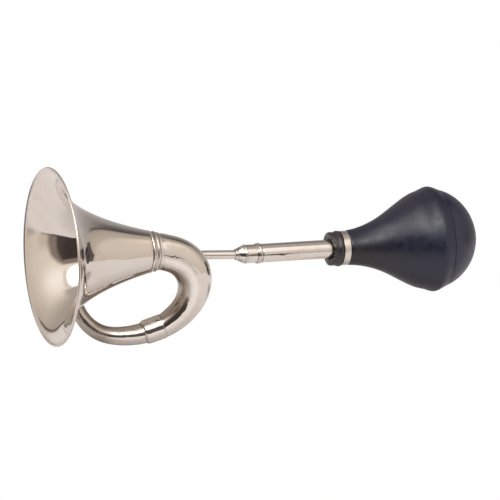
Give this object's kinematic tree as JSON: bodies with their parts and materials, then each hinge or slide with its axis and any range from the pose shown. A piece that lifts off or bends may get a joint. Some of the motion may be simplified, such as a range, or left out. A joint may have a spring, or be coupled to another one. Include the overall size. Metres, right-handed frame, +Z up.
{
  "type": "bulb horn",
  "caption": "Hand-squeezed bulb horn: flared bell, one loop of tapered tube, thin straight pipe, reed in a push-fit socket, bare tube for a clamp and a pear-shaped rubber bulb.",
  "frame": {"origin": "on the reed tube's axis, 23.85 mm behind the end of the socket, near the middle of the bare length that a clamp holds", "axes": "+X along the reed tube towards the bulb, -X towards the bell's mouth; +Z up in the plane of the loop; -Y is the side on which the bell stands in front of the thin pipe"},
  "size_m": [0.3271, 0.1295, 0.1324],
  "materials": {
    "nickel": "nickel plated, polished, lightly worn and slightly wavy",
    "bare_brass": "turned brass, unplated",
    "reed_brass": "hard rolled reed brass",
    "steel_wire": "plain drawn wire",
    "bulb_rubber": "smooth moulded rubber, satin, bluish black",
    "bush_rubber": "aged rubber, rough, brownish black"
  },
  "bodies": {
    "clamp_tube": {"reed_tube": "nickel", "neck_bush": "bush_rubber", "neck_band": "nickel", "bulb_neck": "bulb_rubber"},
    "horn": {"bell": "nickel", "rim_wire": "steel_wire", "throat_collar": "nickel", "main_bow": "nickel", "lower_ferrule": "nickel", "crook": "nickel", "pipe_ferrule": "nickel", "lead_pipe": "nickel", "pipe_cone": "nickel", "reed_socket": "nickel", "reed_block": "bare_brass", "shallot": "bare_brass", "shallot_plug": "bare_brass", "tongue_wedge": "bare_brass"},
    "reed": {"reed_tongue": "reed_brass"},
    "bulb": {"bulb_shell": "bulb_rubber", "bulb_dome": "bulb_rubber"}
  },
  "joints": [
    {"name": "horn_pull_off", "type": "slide", "parent": "clamp_tube", "child": "horn", "axis": [-1, 0, 0], "range_m": [0, 0.05]},
    {"name": "reed_flex", "type": "hinge", "parent": "horn", "child": "reed", "pos_m": [-0.0306, 0, 0.00215], "axis": [0, -1, 0], "range_deg": [-1.6, 1.5], "stiffness_Nm_per_rad": 0.02},
    {"name": "bulb_squeeze", "type": "slide", "parent": "clamp_tube", "child": "bulb", "axis": [-0.9993, 0, -0.0384], "range_m": [0, 0.022], "stiffness_N_per_m": 1100, "deforming": ["bulb_neck"]}
  ]
}
